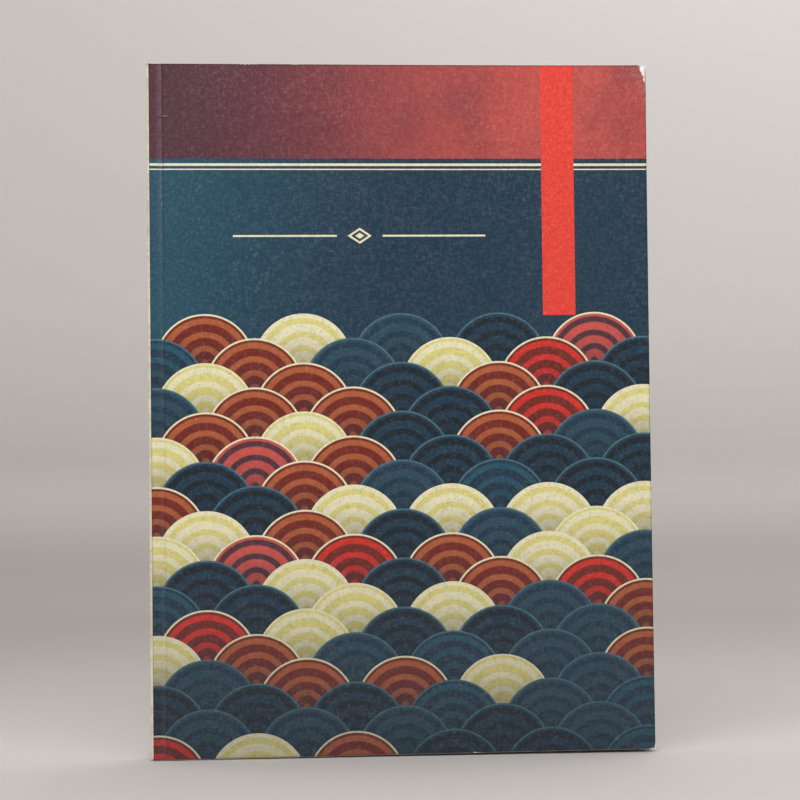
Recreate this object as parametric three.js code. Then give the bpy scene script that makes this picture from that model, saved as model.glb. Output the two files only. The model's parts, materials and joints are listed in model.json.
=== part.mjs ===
// A softcover book, perfect bound: a block of loose leaves glued along one edge into
// a card cover that wraps round the spine and folds open on a pressed score line at each side.
// Millimetres, +Z up. The book stands on its tail with the front cover facing -Y and the
// spine at -X. The origin is the middle of the footprint, on the surface it stands on.
import * as THREE from "three";

// Format and binding
const bookWidth = 175; // from the outside of the spine to the fore edge
const bookHeight = 240; // from tail to head
const leafCount = 48; // 96 pages
const leafThickness = 0.13; // coated paper
const leafGap = 0.02; // air left between two leaves at the spine
const fan = 2.5; // how much thicker the loose fore edge is than the bound edge
const glueThickness = 0.8; // hot-melt layer across the backs of the leaves
const bindingGap = 0.02; // between the leaves' backs and the glue

// Cover
const board = 0.35; // card, folded round the spine in one piece
const boardGap = 0.08; // between the card and the first and last leaf
const spineRadius = 0.6; // outer round of the two folds at the spine
const foldSteps = 4; // facets in each rounded fold
const hingeWidth = 4.2; // glued strip from the leaves' bound edge to the score line
const scoreGap = 0.3; // slit that stands for the pressed score

const paperColour = 0xf1ece0;
const glueColour = 0xd9cfae;
const printColour = 0x2b4858;
const spineColour = 0xe4dcc0;

// Worked out from the values above
const pageWidth = bookWidth - board - glueThickness - bindingGap;
const pitch = leafThickness + leafGap;
const blockThickness = (leafCount - 1) * pitch + leafThickness;
const innerY = blockThickness / 2 + boardGap; // inner face of the card at the spine
const outerY = innerY + board;
const fanAngle = Math.atan(fan / 2 / pageWidth); // of the outermost leaves
const backX = -bookWidth / 2; // outside of the spine
const boundX = bookWidth / 2 - pageWidth; // where the leaves are glued

const paper = new THREE.MeshStandardMaterial({ color: paperColour, roughness: 0.7, metalness: 0 });
const hotMelt = new THREE.MeshStandardMaterial({ color: glueColour, roughness: 0.5, metalness: 0 });
const printed = new THREE.MeshStandardMaterial({ color: printColour, roughness: 0.35, metalness: 0 });
const plainCard = new THREE.MeshStandardMaterial({ color: spineColour, roughness: 0.4, metalness: 0 });

// One leaf, standing on its tail and turned a little about its bound edge, so that
// the block opens towards the fore edge like a fan.
function leaf(number) {
  const fromMiddle = number - (leafCount + 1) / 2;
  const share = fromMiddle / ((leafCount - 1) / 2); // -1 at the front, +1 at the back
  const geometry = new THREE.BoxGeometry(pageWidth, leafThickness, bookHeight);
  const mesh = new THREE.Mesh(geometry, paper);
  mesh.name = "leaf_" + String(number).padStart(2, "0");
  mesh.position.set(pageWidth / 2, 0, bookHeight / 2);
  const boundEdge = new THREE.Group();
  boundEdge.position.set(boundX, fromMiddle * pitch, 0);
  boundEdge.rotation.z = share * fanAngle;
  boundEdge.add(mesh);
  return boundEdge;
}

// The glue that holds the backs of all the leaves, rounded where the cover folds round it.
function spineGlue() {
  const right = boundX - bindingGap;
  const left = right - glueThickness;
  const half = blockThickness / 2;
  const round = spineRadius - board;
  const section = new THREE.Shape();
  section.moveTo(right, -half);
  section.lineTo(right, half);
  section.lineTo(left + round, half);
  section.absarc(left + round, half - round, round, Math.PI / 2, Math.PI, false);
  section.lineTo(left, -half + round);
  section.absarc(left + round, -half + round, round, Math.PI, Math.PI * 1.5, false);
  section.closePath();
  const geometry = new THREE.ExtrudeGeometry(section, {
    depth: bookHeight,
    bevelEnabled: false,
    curveSegments: foldSteps,
  });
  const mesh = new THREE.Mesh(geometry, hotMelt);
  mesh.name = "spine_glue";
  return mesh;
}

// The fixed middle of the cover: the spine panel with a strip on each side that is glued
// to the outer leaves as far as the score line. Its section is a shallow channel.
function coverSpine() {
  const left = backX;
  const right = boundX + hingeWidth - scoreGap / 2;
  const round = spineRadius;
  const inside = spineRadius - board;
  const section = new THREE.Shape();
  section.moveTo(right, -outerY);
  section.lineTo(right, -innerY);
  section.lineTo(left + board + inside, -innerY);
  section.absarc(left + board + inside, -innerY + inside, inside, -Math.PI / 2, -Math.PI, true);
  section.lineTo(left + board, innerY - inside);
  section.absarc(left + board + inside, innerY - inside, inside, Math.PI, Math.PI / 2, true);
  section.lineTo(right, innerY);
  section.lineTo(right, outerY);
  section.lineTo(left + round, outerY);
  section.absarc(left + round, outerY - round, round, Math.PI / 2, Math.PI, false);
  section.lineTo(left, -outerY + round);
  section.absarc(left + round, -outerY + round, round, Math.PI, Math.PI * 1.5, false);
  section.closePath();
  const geometry = new THREE.ExtrudeGeometry(section, {
    depth: bookHeight,
    bevelEnabled: false,
    curveSegments: foldSteps,
  });
  const mesh = new THREE.Mesh(geometry, plainCard);
  mesh.name = "cover_spine";
  return mesh;
}

// One cover panel, from its score line to the fore edge, lying on the fanned leaves. It is
// turned about the line where it folds, on the outside of the card, so that it folds right
// back without touching the glued strip. side is -1 for the front and +1 for the back.
function coverPanel(name, side) {
  const width = pageWidth - hingeWidth - scoreGap / 2;
  const geometry = new THREE.BoxGeometry(width, board, bookHeight);
  const mesh = new THREE.Mesh(geometry, printed);
  mesh.name = name;
  mesh.position.set(scoreGap / 2 + width / 2, (-side * board) / 2, bookHeight / 2);
  const score = new THREE.Group();
  score.position.set(boundX + hingeWidth, side * outerY, 0);
  score.rotation.z = side * fanAngle;
  score.add(mesh);
  return score;
}

const book = new THREE.Group();
book.add(coverPanel("cover_front", -1));
for (let number = 1; number <= leafCount; number += 1) {
  book.add(leaf(number));
}
book.add(spineGlue());
book.add(coverSpine());
book.add(coverPanel("cover_back", 1));

export default book;
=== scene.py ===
import json
import math

import bpy
import numpy as np
from mathutils import Matrix, Vector


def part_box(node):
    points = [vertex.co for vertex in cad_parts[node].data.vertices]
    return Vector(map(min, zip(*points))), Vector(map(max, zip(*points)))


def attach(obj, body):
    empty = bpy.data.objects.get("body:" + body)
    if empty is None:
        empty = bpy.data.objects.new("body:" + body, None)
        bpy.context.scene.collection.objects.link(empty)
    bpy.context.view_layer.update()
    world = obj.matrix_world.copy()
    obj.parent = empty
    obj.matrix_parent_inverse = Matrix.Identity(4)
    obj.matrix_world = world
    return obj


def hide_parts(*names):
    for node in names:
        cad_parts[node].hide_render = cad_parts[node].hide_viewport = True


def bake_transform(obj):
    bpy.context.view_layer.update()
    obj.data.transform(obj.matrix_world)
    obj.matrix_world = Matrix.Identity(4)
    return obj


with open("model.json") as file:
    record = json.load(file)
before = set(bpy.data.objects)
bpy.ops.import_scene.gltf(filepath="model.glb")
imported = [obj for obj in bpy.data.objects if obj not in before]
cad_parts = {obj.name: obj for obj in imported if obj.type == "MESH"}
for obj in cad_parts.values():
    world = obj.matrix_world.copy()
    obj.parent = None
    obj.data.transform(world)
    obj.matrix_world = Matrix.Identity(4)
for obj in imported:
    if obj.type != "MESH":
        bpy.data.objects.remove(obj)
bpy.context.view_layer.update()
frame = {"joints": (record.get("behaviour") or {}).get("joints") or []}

mm = 0.001

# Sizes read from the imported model, so that every surface sits where its solid is
spineLow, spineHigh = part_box("cover_spine")
glueLow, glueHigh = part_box("spine_glue")
frontLow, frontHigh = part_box("cover_front")
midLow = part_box("leaf_24")[0]
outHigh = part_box("leaf_48")[1]
hinges = {joint["name"]: joint for joint in frame["joints"]}
scoreX = hinges["front_cover_hinge"]["pos_m"][0]  # the score line, in plan
book = {
    "height": spineHigh[2],
    "spineX": spineLow[0],
    "foreX": outHigh[0],
    "halfThick": spineHigh[1],  # outside of the card at the spine
    "board": glueLow[0] - spineLow[0],
    "boundX": midLow[0],  # where the leaves are glued
    "halfBlock": glueHigh[1],
    "leaf": 0.13 * mm,
    "leaves": 48,
}
book["fanAngle"] = math.atan2(-frontLow[1] - book["halfThick"], frontHigh[0] - scoreX)
book["fanRise"] = outHigh[1] - book["halfBlock"]  # of the outer leaves at the fore edge


# A round bell of height 1 at t = 0.
def bell(t, width):
    return np.exp(-(t / width) ** 2)


def meshObject(name, verts, faces, slots=None, crease=40):
    mesh = bpy.data.meshes.new(name)
    mesh.from_pydata(verts.tolist(), [], faces.tolist())
    if slots is not None:
        mesh.polygons.foreach_set("material_index", slots.astype(np.int32))
    mesh.polygons.foreach_set("use_smooth", np.ones(len(faces), bool))
    mesh.set_sharp_from_angle(angle=math.radians(crease))
    place = mesh.attributes.new("place", "FLOAT_VECTOR", "POINT")
    place.data.foreach_set("vector", verts.astype(np.float32).ravel())
    mesh.update()
    piece = bpy.data.objects.new(name, mesh)
    bpy.context.scene.collection.objects.link(piece)
    return piece


# A thin closed sheet: two grids of the same shape, face and back, joined round their
# rims. Faces of the first grid are slot 0, of the second slot 1, and the cut rim is slot 2.
def slab(name, face, back):
    nu, nv = face.shape[:2]
    verts = np.concatenate([face.reshape(-1, 3), back.reshape(-1, 3)])
    index = np.arange(nu * nv).reshape(nu, nv)
    a, b = index[:-1, :-1].ravel(), index[1:, :-1].ravel()
    c, d = index[1:, 1:].ravel(), index[:-1, 1:].ravel()
    top = np.stack([a, b, c, d], 1)
    under = np.stack([d, c, b, a], 1) + nu * nv
    ring = np.concatenate([index[:, 0], index[-1, 1:], index[-2::-1, -1], index[0, -2:0:-1]])
    after = np.roll(ring, -1)
    rim = np.stack([after, ring, ring + nu * nv, after + nu * nv], 1)
    faces = np.concatenate([top, under, rim])
    slots = np.repeat([0, 1, 2], [len(top), len(under), len(rim)])
    p = verts[faces]
    volume = np.einsum("ij,ij->i", p[:, 0], np.cross(p[:, 1], p[:, 2])).sum()
    volume += np.einsum("ij,ij->i", p[:, 0], np.cross(p[:, 2], p[:, 3])).sum()
    if volume < 0:
        faces = faces[:, ::-1]
    return meshObject(name, verts, faces, slots)


# Cover panels: one sheet of card from the fold at the spine, over the score line, to the fore edge
cover = {
    "foldRound": 0.6 * mm,  # outer round of the fold at the spine
    "strip": 10,  # steps along the glued strip
    "scoreSteps": 30,
    "panelSteps": 64,
    "rows": 90,
    "scoreReach": 2.4 * mm,  # how far either side of the score is finely stepped
    "bendReach": 1.5 * mm,  # the real card bends over this much when it opens
    "grooveDepth": 0.14 * mm,
    "grooveSoft": 1.3 * mm,  # width of the groove's slope on the spine side
    "grooveSteep": 0.4 * mm,  # and on the panel side
    "cornerCurl": 1.1 * mm,  # the loose corners lift this far
    "cornerPower": 6,
    "edgeCurl": 0.35 * mm,
    "edgePower": 4,
    "wave": 0.12 * mm,
    "waveUp": 5.1, "waveOut": 2.3,  # radians over the height and over the width
}


# Plan line: straight along the glued strip at the block's side, then straight at the
# fan angle from the score on. The face dips in a bell at the score, softer on its spine
# side. The fore edge lifts with the fourth power of the way out, and the two loose corners
# lift more, with the sixth power of the way along both edges.
def coverSheet(name, side, curlHead, curlTail):
    start = book["spineX"] + cover["foldRound"]
    reach = cover["scoreReach"]
    length = (book["foreX"] - scoreX) / math.cos(book["fanAngle"])
    s = np.concatenate([
        np.linspace(start - scoreX, -reach, cover["strip"], endpoint=False),
        np.linspace(-reach, reach, cover["scoreSteps"], endpoint=False),
        reach + (length - reach) * np.linspace(0, 1, cover["panelSteps"]),
    ])
    z = np.linspace(0, book["height"], cover["rows"])
    along, up = np.meshgrid(s, z, indexing="ij")
    turn = np.where(along > 0, book["fanAngle"], 0.0)
    share, high = np.clip(along, 0, None) / length, up / book["height"]
    power = cover["cornerPower"]
    corners = curlHead * high ** power + curlTail * (1 - high) ** power
    lift = cover["edgeCurl"] * share ** cover["edgePower"]
    lift = lift + cover["cornerCurl"] * share ** power * corners
    phase = cover["waveUp"] * high + cover["waveOut"] * share + side
    lift = lift + cover["wave"] * share * (1 + np.sin(phase)) / 2
    width = np.where(along < 0, cover["grooveSoft"], cover["grooveSteep"])
    groove = cover["grooveDepth"] * bell(along, width)

    def placed(depth, dip):
        rise = lift - depth - dip
        x = scoreX + along * np.cos(turn) - rise * np.sin(turn)
        y = book["halfThick"] + along * np.sin(turn) + rise * np.cos(turn)
        return np.stack([np.clip(x, None, book["foreX"]), side * y, up], 2)

    return slab(name, placed(0, groove), placed(book["board"], 0))


print("covers")
frontCard = coverSheet("front_card", -1, 1.0, 0.35)
backCard = coverSheet("back_card", 1, 0.4, 0.7)

# Spine panel: the card between the two folds
spine = {"foldSteps": 10, "panelSteps": 24, "rows": 60, "hollow": 0.12 * mm}


# Plan line: a quarter round, a straight line across the back of the block that sinks
# a little in the middle, and a quarter round again.
def spineSheet():
    r, half, x0 = cover["foldRound"], book["halfThick"], book["spineX"]
    a = np.linspace(-math.pi / 2, -math.pi, spine["foldSteps"])
    b = np.linspace(math.pi, math.pi / 2, spine["foldSteps"])
    y = np.linspace(-half + r, half - r, spine["panelSteps"])[1:-1]
    sink = spine["hollow"] * (1 - (y / (half - r)) ** 2)
    inner = r - book["board"]

    def line(radius, offset, dip):
        first = np.stack([x0 + r + radius * np.cos(a), -half + r + radius * np.sin(a)], 1)
        last = np.stack([x0 + r + radius * np.cos(b), half - r + radius * np.sin(b)], 1)
        flat = np.stack([x0 + offset + dip * sink, y], 1)
        return np.concatenate([first, flat, last])

    z = np.linspace(0, book["height"], spine["rows"])

    def raised(plan):
        grid = np.repeat(plan[:, None, :], len(z), 1)
        return np.concatenate([grid, np.broadcast_to(z[None, :, None], grid.shape[:2] + (1,))], 2)

    return slab("spine_card", raised(line(r, 0, 1)), raised(line(inner, book["board"], 0)))


spineCard = spineSheet()

# Leaves: a stack that shares out the air between the covers, so no two leaves meet
leafBlock = {
    "steps": 34,
    "rows": 22,
    "stepPower": 0.85,  # steps a little closer together at the fore edge
    "gapAtSpine": 0.02 * mm,
    "spread": 1.05,  # how unevenly the air at the fore edge is shared out
    "ripple": 0.35,
    "tilt": (0.6, 2.2), "wavesUp": 3, "wavesOut": 2,  # range of a draw, and what it is multiplied by
    "trim": 0.05 * mm,  # unevenness of the cut edges
    "seed": 24,
}


# Across the block each leaf starts where the one before it ends, plus a gap. A gap is a
# small bound part and a share of the fan's air, which grows from 0 at the glue. The shares
# are lognormal draws times slow waves over the leaf, scaled to fill the stack exactly.
def leafStack():
    rng = np.random.default_rng(leafBlock["seed"])
    n, t = book["leaves"], book["leaf"]
    u = np.linspace(0, 1, leafBlock["steps"]) ** leafBlock["stepPower"]
    v = np.linspace(0, 1, leafBlock["rows"])
    out, up = np.meshgrid(u, v, indexing="ij")
    share = np.exp(leafBlock["spread"] * rng.standard_normal(n - 1))
    phase = rng.uniform(0, 2 * math.pi, (3, n - 1))
    tilt = rng.uniform(*leafBlock["tilt"], (2, n - 1))
    share, phase, tilt = share[:, None, None], phase[..., None, None], tilt[..., None, None]
    waves = np.sin(tilt[0] * leafBlock["wavesUp"] * up + phase[0])
    waves = waves * np.sin(tilt[1] * leafBlock["wavesOut"] * out + phase[1])
    weight = share * np.exp(leafBlock["ripple"] * waves)
    weight = weight / weight.sum(0)
    gaps = leafBlock["gapAtSpine"] + 2 * book["fanRise"] * out * weight
    low = -(book["halfBlock"] + book["fanRise"] * out)
    lows = low + np.concatenate([np.zeros((1,) + out.shape), np.cumsum(gaps + t, 0)])
    pieces = []
    for i in range(n):
        width = book["foreX"] - book["boundX"] - rng.uniform(0, leafBlock["trim"])
        head = book["height"] - rng.uniform(0, leafBlock["trim"])
        x, z = book["boundX"] + width * out, head * up
        name = f"page_{i + 1:02d}"
        pieces.append(slab(name, np.stack([x, lows[i], z], 2), np.stack([x, lows[i] + t, z], 2)))
    return pieces


print("leaves")
pages = leafStack()


# Node helpers
# A colour written as on a screen, as the linear numbers that shaders use.
def srgb(text):
    parts = [int(text[i:i + 2], 16) / 255 for i in (1, 3, 5)]
    return tuple(c / 12.92 if c <= 0.04045 else ((c + 0.055) / 1.055) ** 2.4 for c in parts) + (1.0,)


# A node tree with short calls that add nodes and give back their output.
class Sketch:

    def __init__(self, tree):
        self.tree = tree

    def put(self, kind, **settings):
        node = self.tree.nodes.new(kind)
        for key, value in settings.items():
            setattr(node, key, value)
        return node

    def join(self, value, socket):
        if isinstance(value, bpy.types.NodeSocket):
            self.tree.links.new(value, socket)
        else:
            socket.default_value = value

    def maths(self, operation, *values, clamp=False):
        node = self.put("ShaderNodeMath", operation=operation, use_clamp=clamp)
        for value, socket in zip(values, node.inputs):
            self.join(value, socket)
        return node.outputs[0]

    def plus(self, a, b, clamp=False):
        return self.maths("ADD", a, b, clamp=clamp)

    def minus(self, a, b):
        return self.maths("SUBTRACT", a, b)

    def times(self, a, b):
        return self.maths("MULTIPLY", a, b)

    def over(self, a, b):
        return self.maths("DIVIDE", a, b)

    # 1 becomes 0 and 0 becomes 1.
    def opposite(self, value):
        return self.maths("SUBTRACT", 1.0, value)

    def length(self, a, b):
        return self.maths("SQRT", self.plus(self.times(a, a), self.times(b, b)))

    # 0 below low, 1 above high, smooth between.
    def step(self, value, low, high):
        node = self.put("ShaderNodeMapRange", interpolation_type="SMOOTHSTEP")
        self.join(value, node.inputs["Value"])
        self.join(low, node.inputs["From Min"])
        self.join(high, node.inputs["From Max"])
        return node.outputs["Result"]

    # 1 between low and high, 0 outside them, with soft edges.
    def inside(self, value, low, high, soft):
        rise = self.step(value, low - soft, low + soft)
        fall = self.step(value, high - soft, high + soft)
        return self.times(rise, self.opposite(fall))

    def mix(self, factor, a, b, blend="MIX"):
        node = self.put("ShaderNodeMix", data_type="RGBA", blend_type=blend)
        self.join(factor, node.inputs["Factor"])
        self.join(a, node.inputs["A"])
        self.join(b, node.inputs["B"])
        return node.outputs["Result"]

    def noise(self, vector, scale, detail=3.0, roughness=0.55, distortion=0.0):
        node = self.put("ShaderNodeTexNoise")
        self.join(vector, node.inputs["Vector"])
        node.inputs["Scale"].default_value = scale
        node.inputs["Detail"].default_value = detail
        node.inputs["Roughness"].default_value = roughness
        node.inputs["Distortion"].default_value = distortion
        return node.outputs["Fac"]

    def scaled(self, vector, x, y, z):
        node = self.put("ShaderNodeMapping", vector_type="POINT")
        self.join(vector, node.inputs["Vector"])
        node.inputs["Scale"].default_value = (x, y, z)
        return node.outputs["Vector"]

    # Bands of plain colour, each from its stop to the next.
    def bands(self, value, stops):
        node = self.put("ShaderNodeValToRGB")
        node.color_ramp.interpolation = "CONSTANT"
        marks = node.color_ramp.elements
        while len(marks) < len(stops):
            marks.new(0.5)
        for mark, (at, colour) in zip(marks, stops):
            mark.position, mark.color = at, colour
        self.join(value, node.inputs["Fac"])
        return node.outputs["Color"]

    def bumpNormal(self, height, strength, distance):
        node = self.put("ShaderNodeBump")
        node.inputs["Strength"].default_value = strength
        node.inputs["Distance"].default_value = distance
        self.join(height, node.inputs["Height"])
        return node.outputs["Normal"]

    # Where a point of the mesh was made, which stays with it when the card bends.
    def place(self):
        return self.put("ShaderNodeAttribute", attribute_name="place").outputs["Vector"]

    def solidPlace(self):
        return self.put("ShaderNodeTexCoord").outputs["Object"]

    def split(self, vector):
        node = self.put("ShaderNodeSeparateXYZ")
        self.join(vector, node.inputs[0])
        return node.outputs

    # Across and up the page, in millimetres.
    def acrossUp(self, vector):
        at = self.split(vector)
        return self.times(at[0], 1 / mm), self.times(at[2], 1 / mm)


# An empty node group with named sockets, and its sketch, input and output nodes.
def newGroup(name, inputs, outputs):
    group = bpy.data.node_groups.new(name, "ShaderNodeTree")
    for socket, kind, value in inputs:
        made = group.interface.new_socket(socket, in_out="INPUT", socket_type=kind)
        if value is not None:
            made.default_value = value
    for socket, kind in outputs:
        group.interface.new_socket(socket, in_out="OUTPUT", socket_type=kind)
    sketch = Sketch(group)
    return group, sketch, sketch.put("NodeGroupInput").outputs, sketch.put("NodeGroupOutput").inputs


def useGroup(sketch, group, **values):
    node = sketch.put("ShaderNodeGroup", node_tree=group)
    for key, value in values.items():
        sketch.join(value, node.inputs[key])
    return node.outputs


def newMaterial(name):
    material = bpy.data.materials.new(name)
    material.use_nodes = True
    sketch = Sketch(material.node_tree)
    shader = material.node_tree.nodes["Principled BSDF"]
    return material, sketch, shader


print("finishes")

inks = {
    "tealLeft": "#265568", "teal": "#1E3B4F", "tealLow": "#152530",
    "tealLight": "#47707F", "tealDim": "#2B4D5E",
    "maroon": "#57343F", "headRed": "#D05850", "band": "#EE4638", "tomato": "#D8352A",
    "cream": "#F1EBC6", "yellow": "#E6DC8C", "brown": "#B5613A", "rust": "#7A2A20", "panel": "#EFEBDF",
    # White of a painted glare at a corner, then the greys of a scuff, of pale specks and of pits
    "paintedGlare": "#FFFFFF", "scuff": "#9C8C84", "speck": "#9A8F92", "pit": "#5A5A5A",
    "bareCard": "#E9E6DE",  # card where the film is rubbed off
    # Dark ink of painted shade at the score and the fold, and pale ink of a painted highlight at the
    # score
    "creaseDark": "#15161A", "creaseHighlightAndNickLip": "#A79CA6",
    "spineCard": "#EAE3CF", "spineCloud": "#DBD2BA", "spineSoil": "#B9AC8A",
    "ornament": "#51646E", "bleedBrown": "#6B4A34", "bleedTeal": "#45606B", "bleedRed": "#9C5A48",
    "bleedOlive": "#8C8A5E",
}


def ink(name):
    return srgb(inks[name])


# Scallops of the print. The radius is in millimetres, other lengths are in radii
scallop = {
    "radius": 17.0,
    "frontRows": 17.0,  # counted from the tail, each half a radius above the one under it
    "backRows": 6.0,
    "overlap": 4,  # rows that can reach one point
    "offZero": 40.5,  # keeps the numbers that pick the inks off zero, which has two signs
    "rings": 3.6, "ring": (0.28, 0.86), "ringSoft": 0.05,
    "outline": (0.955, 0.972),
    "foot": (-0.35, 0.75), "footShade": 0.62,  # dark foot, from heights above the centre
    # For each kind the draw from which it holds, and the inks of its rings
    "kinds": ((0.0, "tealLow", "teal"), (0.28, "teal", "tealDim"), (0.48, "tealLeft", "teal"),
              (0.60, "cream", "yellow"), (0.69, "yellow", "cream"), (0.77, "brown", "rust"),
              (0.88, "tomato", "rust"), (0.95, "maroon", "headRed")),
    "creamLine": (0.59, 0.60),  # kinds past this draw have a cream outline, the others a teal one
}


# Printed pattern of overlapping scallops, in rows like roof tiles. For each point the lowest
# row whose round reaches it wins, and a draw from white noise on the round's own number picks
# its inks.
def scallopGroup():
    group, s, given, out = newGroup("overlapping_scallops", [
        ("Place", "NodeSocketVector", None),
        ("Radius", "NodeSocketFloat", scallop["radius"]),
        ("Top Row", "NodeSocketFloat", scallop["frontRows"]),
    ], [("Distance", "NodeSocketFloat"), ("Draw", "NodeSocketFloat"), ("Inside", "NodeSocketFloat"),
        ("Height", "NodeSocketFloat")])
    x, z = s.acrossUp(given["Place"])
    radius = given["Radius"]
    rise = s.times(radius, 0.5)
    first = s.maths("CEIL", s.over(s.minus(z, radius), rise))
    found, distance, draw, high = 0.0, 1.0, 0.0, 0.0
    for k in range(scallop["overlap"]):
        row = s.plus(first, float(k))
        odd = s.maths("FLOORED_MODULO", row, 2.0)
        shifted = s.minus(s.over(x, radius), odd)
        column = s.maths("ROUND", s.times(shifted, 0.5))
        centre = s.times(s.plus(s.times(column, 2.0), odd), radius)
        dx = s.minus(x, centre)
        dz = s.minus(z, s.times(row, rise))
        away = s.over(s.length(dx, dz), radius)
        hit = s.maths("LESS_THAN", away, 1.0)
        hit = s.times(hit, s.maths("LESS_THAN", row, given["Top Row"]))
        fresh = s.times(hit, s.opposite(found))
        cell = s.put("ShaderNodeCombineXYZ")
        s.join(s.plus(column, scallop["offZero"]), cell.inputs[0])
        s.join(s.plus(row, scallop["offZero"]), cell.inputs[1])
        rolled = s.put("ShaderNodeTexWhiteNoise", noise_dimensions="3D")
        s.join(cell.outputs[0], rolled.inputs["Vector"])

        def keep(old, new):
            return s.plus(s.times(old, s.opposite(fresh)), s.times(new, fresh))

        distance = keep(distance, away)
        draw = keep(draw, rolled.outputs["Value"])
        high = keep(high, s.over(dz, radius))
        found = s.maths("MAXIMUM", found, fresh)
    for socket, value in (("Distance", distance), ("Draw", draw), ("Inside", found), ("Height", high)):
        s.join(value, out[socket])
    return group


# Rubbed rims of the card. Lengths are in millimetres
rubbing = {
    "grain": 700.0, "patch": 60.0,  # noise scales
    "patchFrom": (0.66, 0.78), "grainFrom": (0.45, 0.6), "corner": (0.4, 2.6),
    "grainReach": 0.5, "patchReach": 2.0, "cornerReach": 1.4,  # in widths of the rubbed rim
    "soft": 0.06,
}


# 1 at the rims of a rectangle, broken up by noise, 0 further in, and the distance to the
# nearest rim.
def edgeWearGroup():
    group, s, given, out = newGroup("rubbed_edges", [
        ("Place", "NodeSocketVector", None),
        ("Low X", "NodeSocketFloat", -87.5), ("High X", "NodeSocketFloat", 87.5),
        ("High Z", "NodeSocketFloat", 240.0), ("Width", "NodeSocketFloat", 0.2),
    ], [("Wear", "NodeSocketFloat"), ("Rim Distance", "NodeSocketFloat")])
    x, z = s.acrossUp(given["Place"])
    nearX = s.maths("MINIMUM", s.minus(x, given["Low X"]), s.minus(given["High X"], x))
    nearZ = s.maths("MINIMUM", z, s.minus(given["High Z"], z))
    near = s.maths("MINIMUM", nearX, nearZ)
    rough = s.noise(given["Place"], rubbing["grain"], 4.0, 0.7)
    patch = s.noise(given["Place"], rubbing["patch"], 2.0, 0.5)
    extra = s.times(s.step(patch, *rubbing["patchFrom"]), s.step(rough, *rubbing["grainFrom"]))
    atCorner = s.opposite(s.step(s.length(nearX, nearZ), *rubbing["corner"]))
    local = s.plus(s.times(extra, rubbing["patchReach"]), s.times(atCorner, rubbing["cornerReach"]))
    reach = s.times(s.plus(s.times(rough, rubbing["grainReach"]), local), given["Width"])
    s.join(s.opposite(s.step(s.minus(near, reach), -rubbing["soft"], rubbing["soft"])), out["Wear"])
    s.join(near, out["Rim Distance"])
    return group


# Film over the print
filmLook = {
    "thread": 1500.0, "drawn": 0.35,  # linen grain: one noise, drawn out upwards and then across
    "fleck": 760.0, "threadShare": 0.34, "fleckShare": 0.32,
    "wave": 38.0, "waveHeight": 2.2, "waveRough": 0.22, "grainHeight": 0.35,
    "mark": 900.0, "markDrawn": 0.16, "markFrom": (0.66, 0.72), "markDepth": 0.25, "markRough": 0.15,
}


# Thin plastic film: a fine linen grain, faint waves and hairline handling marks, given as a
# height for a bump and as a roughness.
def filmGroup():
    group, s, given, out = newGroup("laminate_film", [
        ("Place", "NodeSocketVector", None), ("Roughness", "NodeSocketFloat", 0.3),
    ], [("Height", "NodeSocketFloat"), ("Roughness", "NodeSocketFloat"), ("Grain", "NodeSocketFloat")])
    look, place = filmLook, given["Place"]
    warp = s.noise(s.scaled(place, 1.0, 1.0, look["drawn"]), look["thread"], 3.0, 0.8)
    weft = s.noise(s.scaled(place, look["drawn"], 1.0, 1.0), look["thread"], 3.0, 0.8)
    fleck = s.noise(place, look["fleck"], 3.0, 0.7)
    grain = s.plus(s.times(s.plus(warp, weft), look["threadShare"]), s.times(fleck, look["fleckShare"]))
    waves = s.noise(place, look["wave"], 2.0, 0.5)
    marks = s.noise(s.scaled(place, look["markDrawn"], 1.0, 1.0), look["mark"], 2.0, 0.5, 1.2)
    hairline = s.step(marks, *look["markFrom"])
    height = s.plus(s.times(grain, look["grainHeight"]), s.times(waves, look["waveHeight"]))
    s.join(s.minus(height, s.times(hairline, look["markDepth"])), out["Height"])
    spread = s.times(s.minus(waves, 0.5), look["waveRough"])
    rough = s.plus(given["Roughness"], s.plus(spread, s.times(hairline, look["markRough"])))
    s.join(rough, out["Roughness"])
    s.join(grain, out["Grain"])
    return group


scallops, rubbed, film = scallopGroup(), edgeWearGroup(), filmGroup()

# Ground of the print. Each pair is where a change of ink starts and ends, in millimetres
ground = {
    "mottle": 14.0,
    "fromSpine": (-90.0, 20.0), "fromSpineMottle": 40.0,
    "fromTail": (20.0, 150.0), "fromTailMottle": 50.0,
    "dusk": (10.0, 110.0), "duskMottle": 30.0, "duskShare": 0.42,
}


def mottledStep(s, value, mottle, name):
    # A soft step whose edge wanders with the mottling
    return s.step(s.plus(value, s.times(mottle, ground[name + "Mottle"])), *ground[name])


def groundPrint(s, place):
    # Teal, more saturated near the spine and darker towards the tail, with soft mottling
    x, z = s.acrossUp(place)
    mottle = s.noise(place, ground["mottle"], 3.0, 0.55)
    teal = s.mix(mottledStep(s, x, mottle, "fromSpine"), ink("tealLeft"), ink("teal"))
    low = s.opposite(mottledStep(s, z, mottle, "fromTail"))
    return s.mix(low, teal, ink("tealLow")), x, z, mottle


def scallopPrint(s, place, colour, rows):
    # Rings of two inks each, darker towards the foot, where the next row lies over them
    cells = useGroup(s, scallops, Place=place, Radius=scallop["radius"], **{"Top Row": rows})
    rings = s.maths("FRACT", s.times(cells["Distance"], scallop["rings"]))
    ring = s.inside(rings, *scallop["ring"], scallop["ringSoft"])
    first = s.bands(cells["Draw"], [(start, ink(name)) for start, name, _ in scallop["kinds"]])
    second = s.bands(cells["Draw"], [(start, ink(name)) for start, _, name in scallop["kinds"]])
    fill = s.mix(ring, first, second)
    foot = s.opposite(s.step(cells["Height"], *scallop["foot"]))
    fill = s.mix(s.times(foot, scallop["footShade"]), fill, ink("tealLow"))
    line = s.mix(s.step(cells["Draw"], *scallop["creamLine"]), ink("tealLight"), ink("cream"))
    fill = s.mix(s.step(cells["Distance"], *scallop["outline"]), fill, line)
    return s.mix(cells["Inside"], colour, fill)


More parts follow.
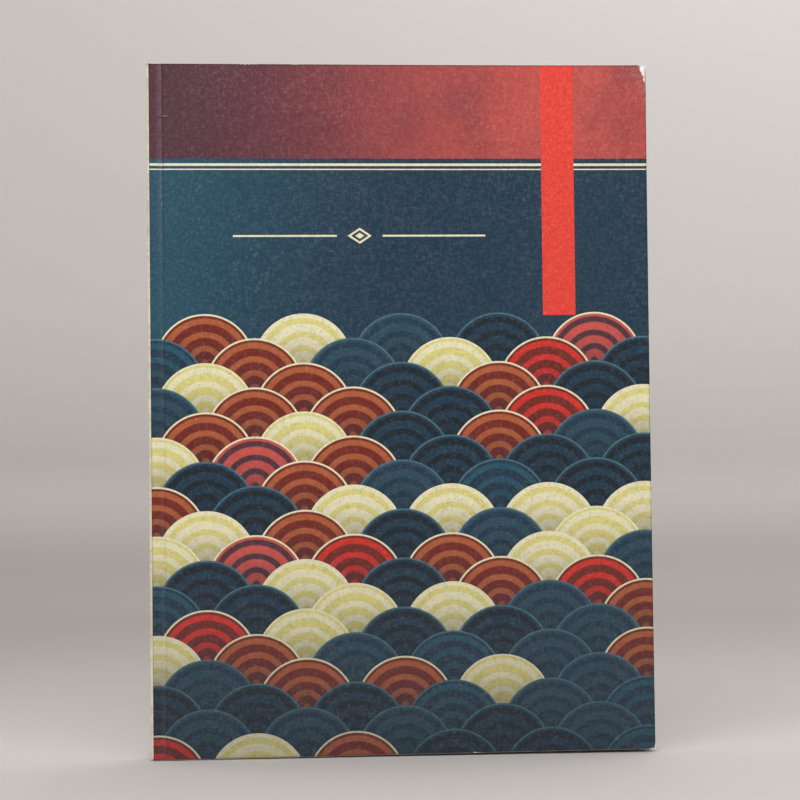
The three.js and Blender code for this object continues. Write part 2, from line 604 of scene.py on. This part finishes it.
# Red strip at the head, in millimetres above the tail or from the strip's own foot
head = {
    "foot": 207.0, "footSoft": 0.1,
    "red": (-46.0, 100.0), "redMottle": 60.0,
    "cloud": 55.0, "cloudFrom": (0.4, 0.72), "mottleFrom": (0.38, 0.66), "cloudShare": 0.24,
    "rules": ((-2.6, -1.7), (-4.0, -3.6)), "ruleSoft": 0.08,
}


def headStrip(s, place, colour, x, z, mottle):
    # Maroon at its spine end, with a double cream rule under it
    along = s.step(s.plus(x, s.times(mottle, head["redMottle"])), *head["red"])
    red = s.mix(along, ink("maroon"), ink("headRed"))
    cloud = s.step(s.noise(place, head["cloud"], 4.0, 0.6), *head["cloudFrom"])
    clouds = s.plus(cloud, s.step(mottle, *head["mottleFrom"]))
    red = s.mix(s.times(clouds, head["cloudShare"]), red, ink("maroon"))
    foot, soft = head["foot"], head["footSoft"]
    colour = s.mix(s.step(z, foot - soft, foot + soft), colour, red)
    for low, high in head["rules"]:
        rule = s.inside(z, foot + low, foot + high, head["ruleSoft"])
        colour = s.mix(rule, colour, ink("cream"))
    return colour


# Ornament: a small diamond in a diamond, between two thin rules, in millimetres
ornament = {
    "squash": 1.5, "ring": (3.0, 4.2), "heart": (1.5, 1.7), "soft": 0.1,
    "ruleFrom": 8.0, "rule": (0.25, 0.4),
    # Middle in x and z, and how far the rules reach either way
    "front": (-14.0, 180.0, 44.0), "back": (3.5, 112.0, 30.0), "firstPage": (3.0, 172.0, 30.0),
}


def lozenge(s, x, z, where):
    midX, midZ, half = ornament[where]
    fromMid = s.maths("ABSOLUTE", s.minus(x, midX))
    fromRow = s.maths("ABSOLUTE", s.minus(z, midZ))
    diamond = s.plus(fromMid, s.times(fromRow, ornament["squash"]))
    marks = s.inside(diamond, *ornament["ring"], ornament["soft"])
    marks = s.maths("MAXIMUM", marks, s.opposite(s.step(diamond, *ornament["heart"])))
    thin = s.opposite(s.step(fromRow, *ornament["rule"]))
    rules = s.times(s.inside(fromMid, ornament["ruleFrom"], half, ornament["soft"]), thin)
    return s.maths("MAXIMUM", marks, rules)


# Bare label band on the front and bare pale panel on the back, in millimetres
label = {"x": (50.0, 61.5), "foot": 152.0, "footSoft": 0.1, "soft": 0.08}
panel = {"x": (36.0, 74.0), "z": (14.0, 38.0), "soft": 0.08}

# Painted glare: white at the loose corner of the head, with a speckled scuff beyond it, in millimetres
# from that corner
corner = {
    "x": 87.5, "z": 240.0,
    "fray": 420.0, "frayReach": 9.0,
    "taper": 5.0, "taperPower": 0.6,  # how fast the painted glare narrows away from the fore edge
    "white": (8.6, 10.2), "whiteShare": 0.95,
    "rim": (0.2, 0.5), "rimShare": 0.35,  # it starts faint right at the fore edge
    "scuff": (10.0, 18.0), "scuffSoft": 2.5, "scuffShare": 0.4,
    "speckle": 900.0, "speckleFrom": (0.42, 0.6),
}


def cornerGlareAndScuff(s, place, x, z):
    # Two masks: the white of the painted glare, and the speckled scuff beyond it
    fray = s.times(s.minus(s.noise(place, corner["fray"], 5.0, 0.75), 0.5), corner["frayReach"])
    awayX, downZ = s.minus(corner["x"], x), s.minus(corner["z"], z)
    taper = s.maths("POWER", s.maths("MAXIMUM", awayX, 0.0), corner["taperPower"])
    distance = s.plus(s.times(taper, corner["taper"]), s.plus(downZ, fray))
    speckled = s.step(s.noise(place, corner["speckle"], 3.0, 0.7), *corner["speckleFrom"])
    scuffed = s.times(s.inside(distance, *corner["scuff"], corner["scuffSoft"]), speckled)
    inward = s.times(s.step(awayX, *corner["rim"]), 1.0 - corner["rimShare"])
    white = s.times(s.plus(corner["rimShare"], inward), s.opposite(s.step(distance, *corner["white"])))
    return s.times(white, corner["whiteShare"]), s.times(scuffed, corner["scuffShare"])


def coverArt(s, place):
    colour, x, z, mottle = groundPrint(s, place)
    colour = scallopPrint(s, place, colour, scallop["frontRows"])
    dusk = s.opposite(mottledStep(s, z, mottle, "dusk"))
    colour = s.mix(s.times(dusk, ground["duskShare"]), colour, ink("tealLow"))
    colour = headStrip(s, place, colour, x, z, mottle)
    colour = s.mix(lozenge(s, x, z, "front"), colour, ink("cream"))
    foot, soft = label["foot"], label["footSoft"]
    band = s.times(s.inside(x, *label["x"], label["soft"]), s.step(z, foot - soft, foot + soft))
    colour = s.mix(band, colour, ink("band"))
    # A painted glare, white at the loose corner of the head, with a scuff beyond it
    white, scuffed = cornerGlareAndScuff(s, place, x, z)
    colour = s.mix(scuffed, colour, ink("scuff"))
    colour = nicked(s, x, z, creased(s, place, colour))
    return s.mix(white, colour, ink("paintedGlare"))


def backArt(s, place):
    colour, x, z, mottle = groundPrint(s, place)
    colour = scallopPrint(s, place, colour, scallop["backRows"])
    colour = headStrip(s, place, colour, x, z, mottle)
    colour = s.mix(lozenge(s, x, z, "back"), colour, ink("cream"))
    pale = s.times(s.inside(x, *panel["x"], panel["soft"]), s.inside(z, *panel["z"], panel["soft"]))
    return creased(s, place, s.mix(pale, colour, ink("panel")))


# Crease at the score line, with its painted highlight and shade, in millimetres from the score towards
# the fore edge
crease = {
    "streak": 240.0, "streakDrawn": 0.4, "streakGain": 2.4, "streakLoss": -0.25,
    "atTail": 0.3, "headFrom": (150.0, 235.0),  # strength at the tail, and where it rises to 1
    # Pale band of painted highlight on the spine side of the score
    "paleRise": (-2.6, -0.3), "paleEnd": 0.05, "pale": 0.17,
    # Dark line of painted shade in the groove's foot
    "line": (0.1, 0.45), "lineSoft": 0.15, "dark": 0.55,
    "wrap": 0.3,  # the spine's colour comes this far round the fold
    # Dark line of painted shade where the card folds round the spine
    "foldShadeLine": (0.1, 0.5), "foldShadeShare": 0.7, "wrapSoft": 0.05,
}


def creased(s, place, colour):
    # The score line: a painted highlight in a pale band on its spine side, painted shade in a dark line
    # in its foot, both weaker towards the tail, and a dark line of painted shade where the card folds
    # round the spine
    x, z = s.acrossUp(place)
    fromScore = s.minus(x, scoreX / mm)
    streak = s.noise(s.scaled(place, 1.0, 1.0, crease["streakDrawn"]), crease["streak"], 4.0, 0.65)
    broken = s.plus(crease["streakLoss"], s.times(streak, crease["streakGain"]))
    towardsHead = s.times(s.step(z, *crease["headFrom"]), 1.0 - crease["atTail"])
    strength = s.times(broken, s.plus(crease["atTail"], towardsHead))
    low, high = crease["paleRise"]
    ramp = s.minus(s.step(fromScore, low, high), s.step(fromScore, high, crease["paleEnd"]))
    pale = s.times(s.times(ramp, strength), crease["pale"])
    colour = s.mix(pale, colour, ink("creaseHighlightAndNickLip"))
    dark = s.times(s.inside(fromScore, *crease["line"], crease["lineSoft"]), strength)
    fold = (book["spineX"] + cover["foldRound"]) / mm + crease["wrap"]
    start, end = crease["foldShadeLine"]
    foldShade = s.opposite(s.step(x, fold + start, fold + end))
    dark = s.maths("MAXIMUM", dark, s.times(foldShade, crease["foldShadeShare"]))
    colour = s.mix(s.times(dark, crease["dark"]), colour, ink("creaseDark"))
    past = s.step(x, fold - crease["wrapSoft"], fold + crease["wrapSoft"])
    return s.mix(past, spineArt(s, place), colour)


# Small cut across the score, in millimetres
nick = {
    "x": (-84.6, -79.6), "z": 221.2, "endSoft": 0.6, "half": 0.2, "soft": 0.12, "dark": 0.75,
    "lip": (0.3, 0.6), "lipSoft": 0.14, "lipX": (2.6, 0.4), "lipEndSoft": 0.5, "lipShare": 0.5,
}


def nicked(s, x, z, colour):
    # A dark dash, with a pale lip over its right end
    low, high = nick["x"]
    fall = s.minus(z, nick["z"])
    start, end = nick["lipX"]
    lip = s.inside(fall, *nick["lip"], nick["lipSoft"])
    lip = s.times(lip, s.inside(x, high - start, high - end, nick["lipEndSoft"]))
    colour = s.mix(s.times(lip, nick["lipShare"]), colour, ink("creaseHighlightAndNickLip"))
    ends = s.inside(x, low + nick["endSoft"], high - nick["endSoft"], nick["endSoft"])
    cut = s.times(s.inside(fall, -nick["half"], nick["half"], nick["soft"]), ends)
    return s.mix(s.times(cut, nick["dark"]), colour, ink("creaseDark"))


# Spine card
spineLook = {
    "cloud": 45.0, "cloudFrom": (0.35, 0.8),
    "fold": (3.2, 4.0), "soil": 260.0, "soilFrom": (0.35, 0.7), "soilShare": 0.45,
}


def spineArt(s, place):
    # Bare cream card, soiled in patches along its two folds
    y = s.maths("ABSOLUTE", s.times(s.split(place)[1], 1 / mm))
    cloud = s.noise(place, spineLook["cloud"], 4.0, 0.6)
    soil = s.step(s.noise(place, spineLook["soil"], 3.0, 0.6), *spineLook["soilFrom"])
    soiled = s.times(s.step(y, *spineLook["fold"]), soil)
    card = s.mix(s.step(cloud, *spineLook["cloudFrom"]), ink("spineCard"), ink("spineCloud"))
    return s.mix(s.times(soiled, spineLook["soilShare"]), card, ink("spineSoil"))


# Finish of the cover card
finish = {
    "roughness": 0.36, "coat": 0.3, "coatRoughness": 0.1, "specular": 0.3, "wornRough": 0.3,
    "specks": 0.3, "speckFrom": (0.47, 0.78),  # pale grain in the print
    "sheenShare": 0.28, "hazeScale": 26.0, "hazeFrom": (0.4, 0.66),  # painted sheen: more of the pale grain in patches
    "hazeRise": (0.09, 0.21),  # towards the head, in metres above the tail
    "pits": 0.42, "pitFrom": (0.42, 0.75),  # dark grain
    "rimDark": 0.45, "rimLine": (0.25, 0.6),  # dark line just inside the cut rims, in millimetres
    "noRim": -200.0,  # well past the spine, where the card is folded and has no cut rim
    "bump": 0.5, "bumpReach": 0.06 * mm, "wornDepth": 1.2,
}


def laminated(name, artwork):
    # Print under a glossy film, rubbed white at its rims, with a painted sheen of more pale grain in
    # patches towards the head
    material, s, shader = newMaterial(name)
    place = s.place()
    colour = artwork(s, place)
    skin = useGroup(s, film, Place=place, Roughness=finish["roughness"])
    worn = useGroup(s, rubbed, Place=place, **{"Low X": finish["noRim"]})
    # Painted sheen: the pale grain grows in patches towards the head
    patches = s.step(s.noise(place, finish["hazeScale"], 4.0, 0.6), *finish["hazeFrom"])
    sheenPatches = s.times(patches, s.step(s.split(place)[2], *finish["hazeRise"]))
    strength = s.plus(finish["specks"], s.times(sheenPatches, finish["sheenShare"]))
    specks = s.step(skin["Grain"], *finish["speckFrom"])
    colour = s.mix(s.times(specks, strength), colour, ink("speck"), "SCREEN")
    pits = s.step(s.opposite(skin["Grain"]), *finish["pitFrom"])
    colour = s.mix(s.times(pits, finish["pits"]), colour, ink("pit"), "MULTIPLY")
    # A dark line just inside the cut rims
    darkRimLine = s.opposite(s.step(worn["Rim Distance"], *finish["rimLine"]))
    colour = s.mix(s.times(darkRimLine, finish["rimDark"]), colour, ink("creaseDark"))
    s.join(s.mix(worn["Wear"], colour, ink("bareCard")), shader.inputs["Base Color"])
    rough = s.plus(skin["Roughness"], s.times(worn["Wear"], finish["wornRough"]))
    s.join(rough, shader.inputs["Roughness"])
    height = s.minus(skin["Height"], s.times(worn["Wear"], finish["wornDepth"]))
    s.join(s.bumpNormal(height, finish["bump"], finish["bumpReach"]), shader.inputs["Normal"])
    shader.inputs["Specular IOR Level"].default_value = finish["specular"]
    shader.inputs["Coat Weight"].default_value = finish["coat"]
    shader.inputs["Coat Roughness"].default_value = finish["coatRoughness"]
    return material


frontPrint = laminated("front_print", coverArt)
backPrint = laminated("back_print", backArt)
spinePrint = laminated("spine_print", spineArt)

# Paper and board
fibreLook = {
    "fibre": 2600.0, "cloud": 26.0, "cloudShare": 0.3, "tintFrom": (0.2, 0.9), "fibreRough": 0.1,
    "aged": (3.0, 16.0), "agedWander": 9.0, "agedShare": 0.5,  # yellowing from the rims, in millimetres
    "bump": 0.35, "bumpReach": 0.04 * mm,
}


# Short fibres, faint clouds, and a little yellow near the open edges. A CAD solid has no place
# attribute, so a material for one reads Object coordinates.
def paperMaterial(name, light, dark, rough, fibre=fibreLook["fibre"], printed=None, onSolid=False):
    material, s, shader = newMaterial(name)
    place = s.solidPlace() if onSolid else s.place()
    fibres = s.noise(place, fibre, 3.0, 0.65, 0.6)
    cloud = s.noise(place, fibreLook["cloud"], 3.0, 0.5)
    tint = s.plus(s.times(fibres, 1.0 - fibreLook["cloudShare"]), s.times(cloud, fibreLook["cloudShare"]))
    rim = useGroup(s, rubbed, Place=place)["Rim Distance"]
    wander = s.plus(rim, s.times(cloud, fibreLook["agedWander"]))
    aged = s.times(s.opposite(s.step(wander, *fibreLook["aged"])), fibreLook["agedShare"])
    tint = s.plus(s.step(tint, *fibreLook["tintFrom"]), aged, clamp=True)
    colour = s.mix(tint, srgb(light), srgb(dark))
    if printed:
        colour = printed(s, place, colour)
    s.join(colour, shader.inputs["Base Color"])
    s.join(s.plus(rough, s.times(fibres, fibreLook["fibreRough"])), shader.inputs["Roughness"])
    s.join(s.bumpNormal(fibres, fibreLook["bump"], fibreLook["bumpReach"]), shader.inputs["Normal"])
    return material


def firstPageArt(s, place, colour):
    # A plain ornament in the place of a title
    x, z = s.acrossUp(place)
    return s.mix(lozenge(s, x, z, "firstPage"), colour, ink("ornament"))


# Slivers of ink on the cut edges: scales across and through the block, and shares
bleed = {
    "sliver": (12.0, 5200.0), "which": (5.0, 3100.0), "from": (0.60, 0.68), "share": 0.55,
    "inks": ((0.0, "bleedBrown"), (0.44, "bleedTeal"), (0.52, "bleedRed"), (0.58, "bleedOlive")),
}


def bleedArt(s, place, colour):
    # Ink of pictures that run off the page, in short slivers on some of the cut edges
    long, thin = bleed["sliver"]
    sliver = s.noise(s.scaled(place, long, thin, long), 1.0, 1.0, 0.5)
    long, thin = bleed["which"]
    which = s.noise(s.scaled(place, long, thin, long), 1.0, 0.0, 0.5)
    colours = s.bands(which, [(start, ink(name)) for start, name in bleed["inks"]])
    return s.mix(s.times(s.step(sliver, *bleed["from"]), bleed["share"]), colour, colours)


insideBoard = paperMaterial("inside_board", "#F4F2EC", "#E9E5DA", 0.7)
boardCut = paperMaterial("board_cut", "#EDE9DF", "#D9D2C4", 0.8)
pagePaper = paperMaterial("page_paper", "#F5F2E9", "#ECE6D6", 0.5)
firstPaper = paperMaterial("first_page_paper", "#F5F2E9", "#ECE6D6", 0.5, printed=firstPageArt)
pageCut = paperMaterial("page_cut", "#F1EDE2", "#D8D0BF", 0.85, fibre=5200.0, printed=bleedArt)
glue = paperMaterial("hot_glue", "#DCCFA4", "#C4B382", 0.45, fibre=900.0, onSolid=True)

for piece, outside in ((frontCard, frontPrint), (backCard, backPrint), (spineCard, spinePrint)):
    for material in (outside, insideBoard, boardCut):
        piece.data.materials.append(material)
for page in pages:
    for material in (firstPaper if page is pages[0] else pagePaper, pagePaper, pageCut):
        page.data.materials.append(material)

# What rides on what
print("riding")
glueNode = bpy.data.objects["spine_glue"]
glueNode.data.materials.clear()
glueNode.data.materials.append(glue)

for card, side, body in ((frontCard, -1, "front_cover"), (backCard, 1, "back_cover")):
    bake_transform(card)
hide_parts("cover_front")
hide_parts("cover_back")
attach(spineCard, "book_block")
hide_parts("cover_spine")
for i, page in enumerate(pages):
    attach(page, "book_block")
    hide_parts(f"leaf_{i + 1:02d}")

# Studio: a pale sweep of paper behind the book, on the floor of a wide dish of the same paper
print("studio")
studio = {
    "front": -4.0, "half": 4.0, "wallY": 0.62, "bend": 0.1, "height": 2.4,  # the sweep
    "flatSteps": 30, "bendSteps": 15, "riseSteps": 29, "columns": 12,
    "gapLeft": 0.0002, "gapRight": 0.0012,  # the floor lies this far under the book's two bottom corners
    "dishDrop": 0.0004,  # how far the dish lies under the sweep
    "dishReach": 4.2, "dishBend": 1.5, "dishHeight": 2.7,
    "spokes": 96, "dishSteps": 15, "dishBendSteps": 20,
    "paper": "#C6C2BF", "paperLight": "#CCC8C5", "tooth": 900.0, "roughness": 0.9,
    "shadeGrey": "#98928D",  # painted shade of the floor and the foot of the sweep's wall
    "floorNear": 0.38, "floorFar": 0.6,  # share of painted shade by the book, and what is added towards the wall
    "farFrom": (-0.1, 0.45), "farEnds": (0.9, 2.4),  # in metres behind the book
    "wallFoot": 0.62,  # part of the wall's painted shade that ends low down, the rest fades out higher
    "footEnds": (0.025, 0.09), "greyEnds": (0.04, 0.22),  # in metres above the floor
}


# How far the floor lies under z = 0: a straight slope between the book's two bottom corners.
def floorFall(x):
    slope = (studio["gapRight"] - studio["gapLeft"]) / (book["foreX"] - book["spineX"])
    return studio["gapLeft"] + slope * (x - book["spineX"])


# Plan line: flat floor, a quarter round, then straight up.
def sweepPaper():
    bend = studio["bend"]
    flat = np.linspace(studio["front"], studio["wallY"] - bend, studio["flatSteps"])
    turn = np.linspace(0, math.pi / 2, studio["bendSteps"] + 1)[1:]
    rise = np.linspace(bend, studio["height"], studio["riseSteps"] + 1)[1:]
    y = np.concatenate([flat, flat[-1] + bend * np.sin(turn), np.full(len(rise), studio["wallY"])])
    z = np.concatenate([flat * 0, bend * (1 - np.cos(turn)), rise])
    x = np.linspace(-studio["half"], studio["half"], studio["columns"])
    across, back = np.meshgrid(x, y, indexing="ij")
    grid = np.stack([across, back, z[None, :] - floorFall(across)], 2)
    index = np.arange(across.size).reshape(across.shape)
    faces = np.stack([index[:-1, :-1], index[1:, :-1], index[1:, 1:], index[:-1, 1:]], 2)
    return meshObject("studio_sweep", grid.reshape(-1, 3), faces.reshape(-1, 4))


# Plan line, turned round the book: flat floor, a quarter round, then straight up.
def wideDish():
    reach, bend = studio["dishReach"], studio["dishBend"]
    turn = np.linspace(0, math.pi / 2, studio["dishBendSteps"])
    flat = np.linspace(0.001, reach - bend, studio["dishSteps"] + 1)[:-1]
    out = np.concatenate([flat, reach - bend + bend * np.sin(turn), [reach]])
    rise = np.concatenate([flat * 0, bend * (1 - np.cos(turn)), [studio["dishHeight"]]])
    angle = np.linspace(0, 2 * math.pi, studio["spokes"], endpoint=False)
    x, y = np.outer(out, np.cos(angle)), np.outer(out, np.sin(angle))
    z = rise[:, None] - studio["dishDrop"] - floorFall(x)
    verts = np.stack([x, y, z], 2).reshape(-1, 3)
    index = np.arange(len(verts)).reshape(len(out), -1)
    after = np.roll(index, -1, 1)
    faces = np.stack([index[:-1], index[1:], after[1:], after[:-1]], 2).reshape(-1, 4)
    return meshObject("studio_floor", verts, faces)


def facing(piece, direction):
    # Turns the faces round if, taken together, they look away from the given direction
    total = sum((f.normal * f.area for f in piece.data.polygons), Vector())
    if total.dot(Vector(direction)) < 0:
        piece.data.flip_normals()


def studioPaper(name, fromBehind):
    # Pale matt paper, with painted shade: greyer on the floor towards the wall and on the foot of the
    # wall, and less so far behind. The sweep is seen from its front only, so that it never hides the
    # book.
    material, s, shader = newMaterial(name)
    tooth = s.noise(s.place(), studio["tooth"], 2.0, 0.5)
    colour = s.mix(tooth, srgb(studio["paper"]), srgb(studio["paperLight"]))
    at = s.split(s.place())
    # Painted shade: more of it towards the wall, less far behind, and fading up the wall
    far = s.times(s.step(at[1], *studio["farFrom"]), s.opposite(s.step(at[1], *studio["farEnds"])))
    shadeGrey = s.plus(studio["floorNear"], s.times(far, studio["floorFar"]))
    short = s.times(s.step(at[2], *studio["footEnds"]), studio["wallFoot"])
    tall = s.times(s.step(at[2], *studio["greyEnds"]), 1.0 - studio["wallFoot"])
    shadeGrey = s.times(shadeGrey, s.opposite(s.plus(short, tall)))
    s.join(s.mix(shadeGrey, colour, srgb(studio["shadeGrey"])), shader.inputs["Base Color"])
    shader.inputs["Roughness"].default_value = studio["roughness"]
    if not fromBehind:
        sides = s.put("ShaderNodeMixShader")
        s.join(s.put("ShaderNodeNewGeometry").outputs["Backfacing"], sides.inputs[0])
        s.join(shader.outputs[0], sides.inputs[1])
        s.join(s.put("ShaderNodeBsdfTransparent").outputs[0], sides.inputs[2])
        s.join(sides.outputs[0], material.node_tree.nodes["Material Output"].inputs["Surface"])
    return material


sweep = sweepPaper()
facing(sweep, (0, -1, 1))
sweep.data.materials.append(studioPaper("sweep_paper", False))
dish = wideDish()
facing(dish, (0, 0, 1))
dish.data.materials.append(studioPaper("floor_paper", True))

# Lights: where each one is, what it faces, its two sizes in metres, and its watts
lamps = {
    "key_left": ((-0.2, -0.46, 0.74), (0, -0.05, 0.1), (0.6, 0.4), 4.1),
    "fill_front": ((0.9, -1.2, 0.95), (0, 0, 0.12), (0.9, 0.6), 6.0),
    "backdrop": ((0.45, 0.3, 1.0), (0.45, 0.62, 0.6), (0.9, 0.2), 4.8),
    "fill_behind": ((-0.75, 0.45, 0.7), (0, 0, 0.12), (0.6, 0.5), 2.2),
    "fill_right": ((1.4, 0.2, 0.6), (0, 0, 0.12), (0.7, 0.6), 5.6),
    "ceiling": ((0, 0, 2.8), (0, 0, 0), (7.0, 7.0), 46.0),
}


def softLight(name, place, aim, size, power):
    data = bpy.data.lights.new(name, "AREA")
    data.shape = "RECTANGLE"
    data.size, data.size_y = size
    data.energy = power
    lamp = bpy.data.objects.new(name, data)
    turned = (Vector(aim) - Vector(place)).to_track_quat("-Z", "Y").to_matrix().to_4x4()
    lamp.matrix_world = Matrix.Translation(place) @ turned
    bpy.context.scene.collection.objects.link(lamp)


for name, (place, aim, size, power) in lamps.items():
    softLight(name, place, aim, size, power)

# Air: a dim even light, and a little brighter where the camera looks into it
airLook = {"colour": "#E9E7E5", "strength": 0.38, "seen": 0.2}
world = bpy.data.worlds.new("studio_air")
world.use_nodes = True
air = Sketch(world.node_tree)
sky = world.node_tree.nodes["Background"]
sky.inputs["Color"].default_value = srgb(airLook["colour"])
seen = air.times(air.put("ShaderNodeLightPath").outputs["Is Camera Ray"], airLook["seen"])
air.join(air.plus(airLook["strength"], seen), sky.inputs["Strength"])
bpy.context.scene.world = world

# Camera: place, turns in degrees and lens, found from the four corners of the cover in the photograph
view = {
    "place": (-0.0549, -0.6356, 0.1048),
    "yaw": 4.918, "pitch": 1.617, "roll": -0.656,
    "focalShare": 1821.5 / 800,  # focal length in picture widths
    "sensor": 36.0,
}
yaw, pitch, roll = (math.radians(view[key]) for key in ("yaw", "pitch", "roll"))
ahead = Vector((math.sin(yaw) * math.cos(pitch), math.cos(yaw) * math.cos(pitch), math.sin(pitch)))
right = ahead.cross(Vector((0, 0, 1))).normalized()
up = right.cross(ahead)
tiltedRight = right * math.cos(roll) + up * math.sin(roll)
tiltedUp = up * math.cos(roll) - right * math.sin(roll)
turned = Matrix((tiltedRight, tiltedUp, -ahead)).transposed().to_4x4()
lens = bpy.data.cameras.new("camera")
lens.sensor_width = view["sensor"]
lens.lens = view["focalShare"] * view["sensor"]
camera = bpy.data.objects.new("camera", lens)
camera.matrix_world = Matrix.Translation(view["place"]) @ turned
bpy.context.scene.collection.objects.link(camera)
bpy.context.scene.camera = camera
bpy.context.scene.view_settings.view_transform = "Standard"
